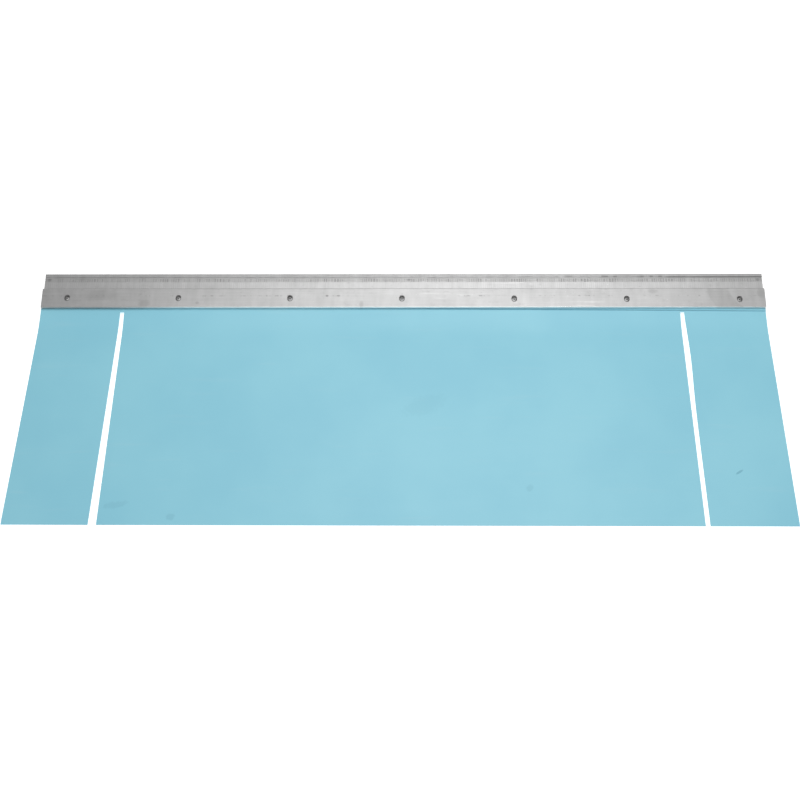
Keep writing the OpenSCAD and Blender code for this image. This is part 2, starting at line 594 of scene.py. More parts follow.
@dataclass(frozen=True)
class RailFinish(Aluminium):
    """The back rail's metal: streaked across, and dirtier from the crimped band rearwards.

    Attributes:
        band_u: Where the dirtier part starts.
        lip_u: Where the lip starts.
        open_x: Where the seam at the lip's foot opens, towards the right end.
        open_fade: Half the length over which it opens.
        line_pitch: Distance between the faint lines across the floor.
    """

    band_u: float = 53.5 * MM
    lip_u: float = 62.5 * MM
    open_x: float = 475.0 * MM
    open_fade: float = 0.01
    line_pitch: float = 3.6 * MM

    def soil_and_painted_shade(self, graph: Graph, place: bpy.types.NodeSocket) -> Number:
        """Dirt on the rear part, blots at the lip's foot, and a painted shadow line in the open seam towards
        the right end.

        Args:
            graph: The material's graph.
            place: The rail's own coordinates.

        Returns:
            The dirt mask.
        """
        x, u, w = graph.split(place)
        mottle = graph.noise(place, (55.0, 160.0, 160.0), 3.0, 0.6)
        blots = graph.noise(place, (62.0, 1.0, 1.0), 1.0, 0.5)
        rear = u.rise(self.band_u - 1.5 * MM, self.band_u + 1.5 * MM) * (0.05 + mottle * 0.26)
        # Painted highlight: the lip's front face is kept clear of dirt where the seam is closed.
        rear = rear * (1.0 - 0.8 * self.foot_face(x, u, w))
        right = x.rise(0.15, 0.45)
        foot = u.within(self.lip_u + 0.8 * MM, 0.9 * MM, 0.9 * MM) * right
        foot = foot * blots.rise(0.5, 0.6) * x.rise(self.open_x + 2 * self.open_fade, self.open_x)
        # Painted shadow line in the open seam at the lip's foot, right of open_x.
        line = u.within(self.lip_u - 0.1 * MM, 0.35 * MM, 0.4 * MM)
        line = line * x.rise(self.open_x - self.open_fade, self.open_x + self.open_fade)
        return super().soil_and_painted_shade(graph, place) + rear + (foot * 0.35 + line * 0.3) * self.upper_side(w)

    def upper_side(self, w: Number) -> Number:
        """Mask of the rail's upper side."""
        return w.rise(4.0 * MM, 4.6 * MM)

    def foot_face(self, x: Number, u: Number, w: Number) -> Number:
        """Mask of the lip's front face, where the seam at its foot is closed."""
        face = u.within(self.lip_u + 0.1 * MM, 0.6 * MM, 0.3 * MM) * w.rise(4.7 * MM, 4.9 * MM)
        return face * x.rise(self.open_x + self.open_fade, self.open_x - self.open_fade)

    def polish_and_painted_highlight(self, graph: Graph, place: bpy.types.NodeSocket) -> Number:
        """Adds a painted highlight on the lip's front face where the seam is closed, and evenly spaced faint
        lines across the floor.

        Args:
            graph: The material's graph.
            place: The rail's own coordinates.

        Returns:
            The mask.
        """
        x, u, w = graph.split(place)
        broken = graph.noise(place, (70.0, 40.0, 40.0), 2.0, 0.6)
        lines = x.to_nearest(self.line_pitch).rise(0.95 * MM, 0.25 * MM) * broken.rise(0.35, 0.65)
        lines = lines * u.rise(self.band_u, self.band_u - 3.0 * MM) * self.upper_side(w)
        # foot_face adds a painted highlight on the lip's front face.
        return super().polish_and_painted_highlight(graph, place) + self.foot_face(x, u, w) * 0.12 + lines * 0.09


@dataclass(frozen=True)
class ClampFinish(Aluminium):
    """The clamp bar's metal: scratched along, scuffed at mid-width, with one dull patch, painted shade in
    its screw holes and at its rear edge, and a painted highlight along its front edge.

    Attributes:
        pitch: Distance between screws.
        row_u: Where the row of screws crosses the bar's middle.
        row_drift: How far the row moves forwards per metre.
        slot_run: How far each slot reaches behind its screw.
        scuff_u: Where the row of scuffs lies.
        rear_u: The rear edge's place.
        patch_left: Where the dull patch starts at the bar's rear edge.
        patch_right: Where it ends there.
        lean_left: How far its left side has moved to the right at the front edge.
        lean_right: How far its right side has moved there.
    """

    pitch: float = SCREW_PITCH
    row_u: float = SCREW_ROW_U
    row_drift: float = 3.0 / 1200.0
    slot_run: float = 2.4 * MM
    scuff_u: float = 22.5 * MM
    rear_u: float = 37.0 * MM
    patch_left: float = 544.0 * MM
    patch_right: float = 581.5 * MM
    lean_left: float = 14.0 * MM
    lean_right: float = 25.0 * MM

    def soil_and_painted_shade(self, graph: Graph, place: bpy.types.NodeSocket) -> Number:
        """Scuffs, the dull patch, and painted shade in the screw holes and along the rear edge.

        Args:
            graph: The material's graph.
            place: The rail's own coordinates.

        Returns:
            The mask of dirt and painted shade.
        """
        x, u, _ = graph.split(place)
        wander = graph.noise(place, (60.0, 110.0, 110.0), 2.0, 0.6)
        forward = (1.0 - u / self.rear_u) ** 2.0
        left = x - forward * self.lean_left + (wander - 0.5) * 14.0 * MM
        right = x - forward * self.lean_right + (wander - 0.5) * 12.0 * MM
        patch = left.rise(self.patch_left - 2.0 * MM, self.patch_left + 2.5 * MM)
        patch = patch * right.rise(self.patch_right + 2.0 * MM, self.patch_right - 2.0 * MM)
        dashes = graph.noise(place, (150.0, 40.0, 40.0), 2.0, 0.6)
        gate = graph.noise(place, (11.0, 1.0, 1.0), 1.0, 0.5)
        scuffs = u.within(self.scuff_u, 0.5 * MM, 1.1 * MM) * dashes.rise(0.52, 0.66) * gate.rise(0.42, 0.56)
        # Painted shade on the walls of each screw's hole and of the slot behind it.
        aside = x.to_nearest(self.pitch)
        behind = u - self.row_u + x * self.row_drift
        off_slot = behind - behind.at_least(0.0).at_most(self.slot_run)
        ring = (aside ** 2.0 + off_slot ** 2.0) ** 0.5
        dirt_and_painted_shade = ring.rise(5.3 * MM, 4.6 * MM)
        # Painted shade along the rear edge's rounding.
        edge = u.rise(self.rear_u - 2.2 * MM, self.rear_u - 0.9 * MM)
        return super().soil_and_painted_shade(graph, place) + patch * 0.1 + scuffs * 0.3 + dirt_and_painted_shade * 0.5 + edge * 0.12

    def polish_and_painted_highlight(self, graph: Graph, place: bpy.types.NodeSocket) -> Number:
        """Adds a painted highlight along the front edge and front face, brightest at mid-length, to the
        bright places.

        Args:
            graph: The material's graph.
            place: The rail's own coordinates.

        Returns:
            The mask.
        """
        x, u, _ = graph.split(place)
        # Painted highlight where the front edge faces the low front light.
        return super().polish_and_painted_highlight(graph, place) + u.rise(1.5 * MM, 0.8 * MM) * x.within(0.1, 0.45, 0.2) * 0.9


@dataclass(frozen=True)
class Smudge:
    """A faint mark on the sheet.

    Attributes:
        x: Where it lies along the rail.
        y: Where it lies front to rear.
        length: Its longer half size.
        width: Its shorter half size.
        turn: Its direction, in radians.
        strength: How dark it is.
    """

    x: float
    y: float
    length: float
    width: float
    turn: float
    strength: float

    def mask(self, graph: Graph, place: bpy.types.NodeSocket, breakup: Number) -> Number:
        """The mark as a mask.

        Args:
            graph: The material's graph.
            place: The model's coordinates.
            breakup: Noise that frays the mark.

        Returns:
            The mask, from 0 to its strength.
        """
        centre = Matrix.Rotation(-self.turn, 3, "Z") @ Vector((-self.x, -self.y, 0.0))
        local = graph.turned(place, tuple(centre), (0.0, 0.0, -self.turn))
        along, across, _ = graph.split(local)
        spread = (along / self.length) ** 2.0 + (across / self.width) ** 2.0
        return (spread + (breakup - 0.5) * 1.6).rise(1.1, 0.2) * self.strength


@dataclass(frozen=True)
class BlueSheetFinish:
    """Satin light blue plastic, wiped clean but handled.

    Attributes:
        name: The material's name.
        colour: The plastic's own colour.
        roughness: How matt it is.
        cut_attribute: The face attribute that is 1 on the sawn edges.
        smudges: The marks that stay on it.
    """

    name: str = "blue_sheet_plastic"
    colour: Triple = (0.275, 0.64, 0.775)
    roughness: float = 0.4
    cut_attribute: str = "cut_edge"
    smudges: tuple[Smudge, ...] = (
        Smudge(561.0 * MM, -143.0 * MM, 9.0 * MM, 2.2 * MM, math.radians(33.0), 0.5),
        Smudge(-470.0 * MM, -203.0 * MM, 24.0 * MM, 7.0 * MM, math.radians(10.0), 0.16),
        Smudge(-377.0 * MM, -224.0 * MM, 9.0 * MM, 7.0 * MM, 0.0, 0.2),
        Smudge(213.0 * MM, -172.0 * MM, 8.0 * MM, 6.0 * MM, math.radians(50.0), 0.16),
        Smudge(40.0 * MM, -20.0 * MM, 46.0 * MM, 20.0 * MM, math.radians(20.0), 0.07),
    )

    def dirt_and_painted_shade(self, graph: Graph) -> Number:
        """Extra darkening for a part of the sheet; a plain part has dirt specks only."""
        specks = graph.noise(graph.position(), (240.0, 240.0, 240.0), 2.0, 0.5)
        return specks.rise(0.73, 0.8) * 0.1

    def material(self) -> bpy.types.Material:
        """Builds the plastic.

        Returns:
            The finished material.
        """
        graph = Graph(self.name)
        place = graph.position()
        clouds = graph.noise(place, (5.0, 5.0, 5.0), 3.0, 0.5)
        peel = graph.noise(place, (420.0, 420.0, 420.0), 2.0, 0.5)
        wipes = graph.noise(place, (7.0, 60.0, 60.0), 3.0, 0.55)
        breakup = graph.noise(place, (150.0, 150.0, 150.0), 3.0, 0.6)
        hairs = graph.noise(place, (26.0, 900.0, 900.0), 1.0, 0.5).rise(0.7, 0.76)
        marks = self.smudges[0].mask(graph, place, breakup)
        for smudge in self.smudges[1:]:
            marks = marks + smudge.mask(graph, place, breakup)
        # On the packing strip and root, this adds painted shade along the strip's front edge.
        marks = marks + self.dirt_and_painted_shade(graph)
        red, green, blue = self.colour
        deep = (red * 0.93, green * 0.96, blue * 0.975, 1.0)
        pale = (red * 1.07, green * 1.035, blue * 1.02, 1.0)
        body = graph.mix(clouds.rise(0.3, 0.7) * 0.8 + peel * 0.2, deep, pale)
        dust = graph.mix(wipes.rise(0.55, 0.85) * 0.05, body, grey(0.8))
        dark = (red * 0.45, green * 0.55, blue * 0.6, 1.0)
        sawn = graph.attribute(self.cut_attribute)
        chalky = (0.42, 0.56, 0.61, 1.0)
        smudged_and_shaded = graph.mix(marks.at_most(1.0), dust, dark)
        return graph.finish({
            "Base Color": graph.mix(sawn * (0.5 + peel * 0.5), smudged_and_shaded, chalky),
            "Roughness": self.roughness + wipes * 0.1 + marks * 0.2 - hairs * 0.06 + sawn * 0.3,
            "IOR": 1.5,
            "Normal": graph.bump(peel * 0.7 + clouds * 0.3 - hairs * 0.5, 0.008 * MM, 0.5),
        })


@dataclass(frozen=True)
class StripFinish(BlueSheetFinish):
    """The packing strip's plastic, and the sheet's root under it, with painted shade where they meet.

    Attributes:
        plane: The rail's axes.
        front_left: Where the strip's front edge lies at the rail's left end.
        front_right: Where it lies at the right end.
        half_length: Half the rail's length.
        under_w: Height of the strip's underside.
    """

    name: str = "blue_strip_plastic"
    plane: RailPlane = RailPlane(0.0, 0.0)
    front_left: float = 5.5 * MM
    front_right: float = -4.2 * MM
    half_length: float = 0.646
    under_w: float = 6.0 * MM

    def dirt_and_painted_shade(self, graph: Graph) -> Number:
        """Mask of painted shade on the strip's front face and of the painted shadow line in front of it.

        Args:
            graph: The material's graph.

        Returns:
            The mask.
        """
        x, u, w = graph.split(self.plane.coordinates(graph))
        slope = (self.front_right - self.front_left) / (2.0 * self.half_length)
        ahead = u - (x + self.half_length) * slope - self.front_left
        # Painted shade on the strip's front face and a painted shadow line just in front of it.
        face = w.within(self.under_w + 0.4 * MM, 0.25 * MM, 0.1 * MM) * ahead.within(0.0, 0.1 * MM, 0.2 * MM)
        line = ahead.within(-0.6 * MM, 0.5 * MM, 0.4 * MM)
        line = line * w.rise(self.under_w + 0.1 * MM, self.under_w + 0.02 * MM)
        return (face + line * 0.75).at_most(1.0)


@dataclass(frozen=True)
class DarkSteelFinish:
    """Steel of small fasteners, darkened and worn bright where tools touch it; an attribute can add a
    painted highlight.

    Attributes:
        name: The material's name.
        tone: The darkened steel's grey.
        bright: The grey of worn steel and of the painted highlight.
        attribute: A vertex attribute that says how bright each spot is made by tool marks and a painted
            highlight, if the piece has one.
    """

    name: str
    tone: float
    bright: float = 0.5
    attribute: str = ""

    def material(self) -> bpy.types.Material:
        """Builds the steel.

        Returns:
            The finished material.
        """
        graph = Graph(self.name)
        place = graph.position()
        fine = graph.noise(place, (1300.0, 1300.0, 1300.0), 3.0, 0.6)
        broad = graph.noise(place, (260.0, 260.0, 260.0), 2.0, 0.5)
        worn = (fine * 0.5 + broad * 0.5).rise(0.48, 0.7) * 0.3
        if self.attribute:
            # The attribute adds worn spots and a painted highlight on the side towards the lights.
            worn = (worn + graph.attribute(self.attribute) * (0.75 + fine * 0.5)).at_most(1.0)
        return graph.finish({
            "Base Color": graph.mix(worn, grey(self.tone), grey(self.bright)),
            "Metallic": 0.95,
            "Roughness": 0.5 - worn * 0.14 + fine * 0.06,
            "Normal": graph.bump(fine, 0.02 * MM, 0.5),
        })


@dataclass(frozen=True)
class RubberFinish:
    """Matt charcoal rubber of the blade, with pale dust along its worked edge.

    Attributes:
        name: The material's name.
        tone: The rubber's own grey.
        dust_top: Height up to which dust clings to it.
    """

    name: str = "blade_rubber"
    tone: float = 0.03
    dust_top: float = 2.5 * MM

    def material(self) -> bpy.types.Material:
        """Builds the rubber.

        Returns:
            The finished material.
        """
        graph = Graph(self.name)
        place = graph.position()
        _, _, z = graph.split(place)
        grain = graph.noise(place, (1400.0, 1400.0, 1400.0), 2.0, 0.6)
        smear = graph.noise(place, (35.0, 500.0, 500.0), 3.0, 0.6)
        dust = z.rise(self.dust_top, 0.0) * smear.rise(0.4, 0.7)
        dark, light = self.tone * 0.8, self.tone * 1.3
        body = graph.mix(grain, (dark, dark, dark * 1.05, 1.0), (light, light, light * 1.05, 1.0))
        return graph.finish({
            "Base Color": graph.mix(dust * 0.35, body, grey(0.3)),
            "Roughness": 0.62 + grain * 0.16 + dust * 0.1,
            "Normal": graph.bump(grain, 0.03 * MM, 0.6),
        })


@dataclass(frozen=True)
class CrimpFinish(Aluminium):
    """Aluminium of the crimped band, dark in every dent.

    Attributes:
        attribute: The vertex attribute that holds each spot's dent.
    """

    attribute: str = "dent"

    def soil_and_painted_shade(self, graph: Graph, place: bpy.types.NodeSocket) -> Number:
        """Dirt that sits in the dents.

        Args:
            graph: The material's graph.
            place: The rail's own coordinates.

        Returns:
            The dirt mask.
        """
        mottle = graph.noise(place, (55.0, 160.0, 160.0), 3.0, 0.6)
        frayed = graph.noise(place, (700.0, 500.0, 500.0), 2.0, 0.6)
        dent = graph.attribute(self.attribute)
        marks = (dent + (frayed - 0.5) * 0.35).rise(0.1, 0.95)
        return super().soil_and_painted_shade(graph, place) + mottle * 0.2 + 0.02 + marks * 0.32


@dataclass(frozen=True)
class FloorFinish:
    """Plain white floor, lifted a little by its own light so that it stays pale to its edges.

    Attributes:
        name: The material's name.
        tone: The floor's own grey.
        lift: Strength of the light that it adds.
    """

    name: str = "studio_floor"
    tone: float = 0.9
    lift: float = 0.6

    def material(self) -> bpy.types.Material:
        """Builds the floor's surface."""
        return Graph(self.name).finish({
            "Base Color": grey(self.tone),
            "Roughness": 0.9,
            "Specular IOR Level": 0.0,
            "Emission Color": grey(1.0),
            "Emission Strength": self.lift,
        })


# Making pieces


def unit(value: float) -> float:
    """A value held between 0 and 1."""
    return min(1.0, max(0.0, value))


def long_edges(bm: bmesh.types.BMesh, least: float) -> list[bmesh.types.BMEdge]:
    """The edges that reach along X for more than a length."""
    return [edge for edge in bm.edges if abs(edge.verts[0].co.x - edge.verts[1].co.x) > least]


def make_piece(
    name: str, bm: bmesh.types.BMesh, material: bpy.types.Material, sharp_deg: float
) -> bpy.types.Object:
    """Turns a finished bmesh into a piece at the origin.

    Args:
        name: The piece's name.
        bm: The shape, in the model's frame; it is freed.
        material: The piece's only material.
        sharp_deg: Edges that bend more than this stay crisp.

    Returns:
        The new object.
    """
    bmesh.ops.remove_doubles(bm, verts=bm.verts, dist=1e-7)
    bmesh.ops.recalc_face_normals(bm, faces=bm.faces)
    mesh = bpy.data.meshes.new(name)
    bm.to_mesh(mesh)
    bm.free()
    for polygon in mesh.polygons:
        polygon.use_smooth = True
    mesh.set_sharp_from_angle(angle=math.radians(sharp_deg))
    mesh.materials.append(material)
    made = bpy.data.objects.new(name, mesh)
    bpy.context.scene.collection.objects.link(made)
    return made


def dress(node: str, material: bpy.types.Material) -> None:
    """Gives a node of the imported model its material.

    Args:
        node: The node's name.
        material: What it is made of.
    """
    shown = frame["nodes"][node]
    if not shown.material_slots:
        shown.data.materials.append(material)
    for slot in shown.material_slots:
        slot.material = material
    LOG.info("dressed %s in %s", node, material.name)


def report(piece: bpy.types.Object) -> None:
    """Logs a new piece's name and size."""
    size = ", ".join(f"{side / MM:.1f}" for side in piece.dimensions)
    LOG.info("built %s, %s mm, %d faces", piece.name, size, len(piece.data.polygons))


def bevel(bm: bmesh.types.BMesh, edges: Iterable[bmesh.types.BMEdge], width: float, segments: int) -> None:
    """Rounds edges.

    Args:
        bm: The shape.
        edges: The edges to round.
        width: How far the rounding reaches from each edge.
        segments: Number of facets in it.
    """
    bmesh.ops.bevel(
        bm, geom=list(edges), offset=width, affect="EDGES", segments=segments, profile=0.5, material=-1
    )


# The sheet


@dataclass(frozen=True)
class Lift:
    """A place where the sheet doesn't lie quite flat.

    Attributes:
        x: Its middle along the rail.
        y: Its middle front to rear.
        reach_x: How far it spreads along the rail.
        reach_y: How far it spreads front to rear.
        height: How far the sheet rises there.
    """

    x: float
    y: float
    reach_x: float
    reach_y: float
    height: float

    def at(self, x: float, y: float) -> float:
        """The rise at a place."""
        along, across = (x - self.x) / self.reach_x, (y - self.y) / self.reach_y
        return self.height * math.exp(-(along**2) - across**2)


@dataclass(frozen=True)
class Panel:
    """One part of the sheet that bends.

    Attributes:
        node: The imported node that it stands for, and the body that it moves with.
        columns: Number of faces across it.
        splay: How far its free end stands to the right of its root.
        bow: How far its left edge bows inwards, near the clamp.
        lifts: Where it doesn't lie flat.
        bow_at: Distance from the hinge line to the bow's middle.
        bow_reach: How far the bow spreads from there.
        bow_start: Length over which it sets in at the hinge line.
    """

    node: str
    columns: int
    splay: float = 0.0
    bow: float = 0.0
    lifts: tuple[Lift, ...] = ()
    bow_at: float = 0.085
    bow_reach: float = 0.065
    bow_start: float = 0.03

    def bowed(self, across: float, s: float) -> float:
        """How far a point is moved to the right by the bow.

        Args:
            across: 0 at the left edge and 1 at the right edge.
            s: Distance from the hinge line.

        Returns:
            The shift.
        """
        swell = math.exp(-(((s - self.bow_at) / self.bow_reach) ** 2))
        return self.bow * (1.0 - across) ** 2 * swell * unit(s / self.bow_start)

    def sides(self) -> tuple[float, float]:
        """Where its two sides lie at the hinge line."""
        low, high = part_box(self.node)
        return low.x - min(self.splay, 0.0), high.x - max(self.splay, 0.0)


@dataclass
class Sheet:
    """The blue sheet: its clamped root and the three panels that bend.

    Attributes:
        path: The sheet's middle line.
        finish: What its panels are made of.
        root_finish: The finish of its root and of the packing strip on it.
        rows: Number of faces along a panel.
        bunching: Above 1, the rows lie closer together near the clamp.
        half_gap: Distance from the hinge line to the tops of the slits.
        lead: How far behind the hinge line a panel's bend would start if it weren't clamped.
        curl: How far in front of the hinge line the bend ends.
        edge: Width of the cut edges' bevel.
        waviness: Height of the sheet's slow waves.
        panels: The parts that bend.
    """

    path: SheetPath
    finish: bpy.types.Material
    root_finish: bpy.types.Material
    rows: int = 84
    bunching: float = 1.4
    half_gap: float = 0.55 * MM
    lead: float = 20.0 * MM
    curl: float = 50.0 * MM
    edge: float = 0.18 * MM
    waviness: float = 0.35 * MM
    panels: tuple[Panel, ...] = (
        Panel("left_flap", 14, -6.5 * MM, 0.0, (Lift(-0.66, -0.25, 0.09, 0.10, 0.8 * MM),)),
        Panel("centre_panel", 88),
        Panel("right_flap", 14, 0.5 * MM, 2.6 * MM, (Lift(0.49, 0.03, 0.05, 0.07, 1.6 * MM),)),
    )

    def rise(self, x: float, y: float, lifts: Sequence[Lift]) -> float:
        """How far the sheet lies above its plain shape.

        Args:
            x: Place along the rail.
            y: Place front to rear.
            lifts: The panel's own lifts.

        Returns:
            The rise, which is never below zero.
        """
        settled = unit((self.path.pivot().y - 0.03 - y) / 0.12)
        wave = 0.5 + 0.5 * noise.noise(Vector((x * 4.5, y * 5.0, 3.7)))
        return settled * (self.waviness * wave + sum(lift.at(x, y) for lift in lifts))

    def build_panel(self, panel: Panel) -> None:
        """Builds one bending part, from the tops of the slits to the free edge.

        Args:
            panel: The part to build, which bends between the rail and its own body.
        """
        left, right = panel.sides()
        free_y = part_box(panel.node)[0].y
        reach = self.path.reach(free_y)
        bm = bmesh.new()
        bmesh.ops.create_grid(bm, x_segments=panel.columns, y_segments=self.rows, size=0.5)
        for vertex in bm.verts:
            across, along = vertex.co.x + 0.5, 0.5 - vertex.co.y
            s = (reach + self.half_gap) * along**self.bunching - self.half_gap
            vertex.co = self.path.place(s, self.path.thickness / 2)
            vertex.co.x = left + (right - left) * across + panel.splay * max(0.0, s) / reach
            vertex.co.x += panel.bowed(across, s)
            vertex.co.z += self.rise(vertex.co.x, vertex.co.y, panel.lifts)
        root_y = max(vertex.co.y for vertex in bm.verts)
        self.thicken(bm)
        cut = [edge for edge in bm.edges if self.is_cut(edge, root_y)]
        bevel(bm, cut, self.edge, 1)
        self.mark_cut(bm)
        piece = make_piece("sheet_" + panel.node, bm, self.finish, 25.0)
        hinge = Vector((0.0, self.path.pivot().y, 0.0))
        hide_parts(panel.node)
        start, end = hinge + Vector((0.0, self.lead, 0.0)), hinge - Vector((0.0, self.curl, 0.0))
        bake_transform(piece, "rail", panel.node, start=start, end=end)
        report(piece)

    def thicken(self, bm: bmesh.types.BMesh) -> None:
        """Gives a flat shape the sheet's thickness, downwards."""
        bmesh.ops.recalc_face_normals(bm, faces=bm.faces)
        if sum(face.normal.z for face in bm.faces) < 0.0:
            bmesh.ops.reverse_faces(bm, faces=bm.faces)
        bmesh.ops.solidify(bm, geom=bm.faces[:], thickness=self.path.thickness)
        bmesh.ops.recalc_face_normals(bm, faces=bm.faces)
        bm.normal_update()

    @staticmethod
    def mark_cut(bm: bmesh.types.BMesh) -> None:
        """Marks the sawn faces with an attribute, so that the finish can show them."""
        layer = bm.faces.layers.float.new("cut_edge")
        bm.normal_update()
        for face in bm.faces:
            face[layer] = 1.0 if abs(face.normal.z) < 0.9 else 0.0

    @staticmethod
    def is_cut(edge: bmesh.types.BMEdge, root_y: float) -> bool:
        """Whether an edge is one of the sheet's cut corners, away from the root's seam.

        Args:
            edge: The edge to judge.
            root_y: Where the root's seam lies.

        Returns:
            True if the edge is to be bevelled.
        """
        at_root = all(vertex.co.y > root_y - 0.6 * MM for vertex in edge.verts)
        return len(edge.link_faces) == 2 and not at_root and edge.calc_face_angle(0.0) > math.radians(60.0)

    def build_root(self) -> None:
        """Builds the clamped root with the web above the slits."""
        rail, seat, top = self.path.rail, self.path.seat, self.path.seat + self.path.thickness
        low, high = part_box("sheet_root")
        front_u = self.path.pivot_u + self.half_gap
        rear_u = (high.y - rail.front_y + seat * math.sin(rail.lean)) / math.cos(rail.lean)
        bm = bmesh.new()
        bmesh.ops.create_grid(bm, x_segments=120, y_segments=6, size=0.5)
        for vertex in bm.verts:
            u = front_u + (vertex.co.y + 0.5) * (rear_u - front_u)
            vertex.co = rail.point(low.x + (high.x - low.x) * (vertex.co.x + 0.5), u, top)
        self.thicken(bm)
        self.mark_cut(bm)
        piece = make_piece("sheet_clamped_root", bm, self.root_finish, 25.0)
        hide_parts("sheet_root")
        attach(piece, "rail")
        report(piece)

    def build(self) -> None:
        """Builds the root, the three panels and the packing strip's look."""
        self.build_root()
        for panel in self.panels:
            self.build_panel(panel)
        dress("packing_strip", self.root_finish)


# Metal and rubber


@dataclass
class Rail:
    """The back rail, with the crimped band that closes the blade's channel.

    Attributes:
        plane: The rail's axes.
        finish: The rail's metal.
        band_finish: The band's metal.
        floor_w: Height of the rail's floor above its underside.
        band_u: Middle of the band.
        band_half: Half its width.
        groove_half: Half the width of the groove under it.
        swell: How far the upset metal stands above the floor.
        depth: Depth of the deepest dent.
        least: Least height of the metal beside the groove.
        skin: The band's thickness, and how far its edges sink in.
        mark_pitch: Usual distance between dents.
        stretches: Where the band runs, from pin to pin.
        step: Distance between its rows of vertices.
        seam_u: Middle of the seam at the lip's foot.
        seam_half: Half its width.
        seam_height: Its height.
        seam_drop: How far its middle lies below the floor.
        seam_cuts: Number of cuts along it.
        seam_stretch: Where the seam is closed.
    """

    plane: RailPlane
    finish: bpy.types.Material
    band_finish: bpy.types.Material
    floor_w: float = 5.0 * MM
    band_u: float = 56.3 * MM
    band_half: float = 3.7 * MM
    groove_half: float = 1.4 * MM
    swell: float = 0.1 * MM
    depth: float = 0.24 * MM
    least: float = 0.01 * MM
    skin: float = 0.03 * MM
    mark_pitch: float = 4.2 * MM
    stretches: tuple[tuple[float, float], ...] = ((-0.6335, 0.0075), (0.0165, 0.6335))
    step: float = 0.7 * MM
    seam_u: float = 62.15 * MM
    seam_half: float = 0.33 * MM
    seam_height: float = 0.36 * MM
    seam_drop: float = 0.19 * MM
    seam_cuts: int = 400
    seam_stretch: tuple[float, float] = (-0.6455, 0.473)

    def dent(self, x: float, side: float) -> float:
        """How deep the band is struck at a place, from 0 to 1.

        Args:
            x: The place along the rail.
            side: The place across the band, from -1 to 1.

        Returns:
            The depth of the nearest stroke there.
        """
        phase = x / self.mark_pitch + 1.0 * noise.noise(Vector((x * 40.0, 0.0, 8.1)))
        stroke = round(phase)
        across = unit((0.33 - abs(phase - stroke)) / 0.16)
        reach = 0.95 + 0.5 * noise.noise(Vector((stroke * 0.37, 2.0, 6.2)))
        middle = 0.3 * noise.noise(Vector((stroke * 0.61, 7.0, 1.2)))
        along = unit((reach - abs(side - middle)) / 0.4 + 0.5)
        stretch = noise.noise(Vector((x * 15.0, 4.0, 2.3)))
        single = noise.noise(Vector((stroke * 0.83, 9.0, 5.5)))
        return across * along * min(1.0, max(0.08, 0.58 + 0.55 * stretch + 0.6 * single))

    def build_band(self, index: int, start: float, end: float) -> None:
        """Builds one stretch of the band.

        Args:
            index: The stretch's number, for its name.
            start: Where it starts along the rail.
            end: Where it ends.
        """
        bm = bmesh.new()
        bmesh.ops.create_grid(bm, x_segments=round((end - start) / self.step), y_segments=13, size=0.5)
        layer = bm.verts.layers.float.new("dent")
        for vertex in bm.verts:
            side = 2.0 * vertex.co.y
            x = start + (end - start) * (vertex.co.x + 0.5)
            strike = self.dent(x, side)
            swell = self.swell * (1.0 - side**4) * (0.6 + 0.8 * noise.noise(Vector((x * 40.0, side, 1.0))))
            off = abs(side) * self.band_half
            height = swell - strike * (self.depth if off < self.groove_half else self.swell)
            if off > self.groove_half:
                height = max(height, self.least)
            if abs(side) > 0.99:
                height = -self.skin
            vertex.co = self.plane.point(x, self.band_u + side * self.band_half, self.floor_w + height)
            vertex[layer] = strike
        bmesh.ops.solidify(bm, geom=bm.faces[:], thickness=self.skin)
        piece = make_piece(f"crimped_band_{index}", bm, self.band_finish, 60.0)
        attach(piece, "rail")
        report(piece)

    def build_seam(self) -> None:
        """Builds the metal that closes the seam at the lip's foot."""
        start, end = self.seam_stretch
        bm = bmesh.new()
        bmesh.ops.create_cube(bm, size=1.0)
        bmesh.ops.scale(bm, vec=(end - start, 2 * self.seam_half, self.seam_height), verts=bm.verts)
        bmesh.ops.subdivide_edges(bm, edges=long_edges(bm, 0.5), cuts=self.seam_cuts, use_grid_fill=True)
        for vertex in bm.verts:
            if vertex.co.z > 0.0:
                vertex.co.z -= 0.1 * MM * (0.5 + noise.noise(Vector((vertex.co.x * 70.0, 3.0, 3.0))))
        bm.transform(self.plane.stand((start + end) / 2, self.seam_u, self.floor_w - self.seam_drop))
        piece = make_piece("closed_seam", bm, self.finish, 60.0)
        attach(piece, "rail")
        report(piece)

    def build(self) -> None:
        """Dresses the rail and builds its band and its seam."""
        dress("back_rail", self.finish)
        for index, (start, end) in enumerate(self.stretches, 1):
            self.build_band(index, start, end)
        self.build_seam()


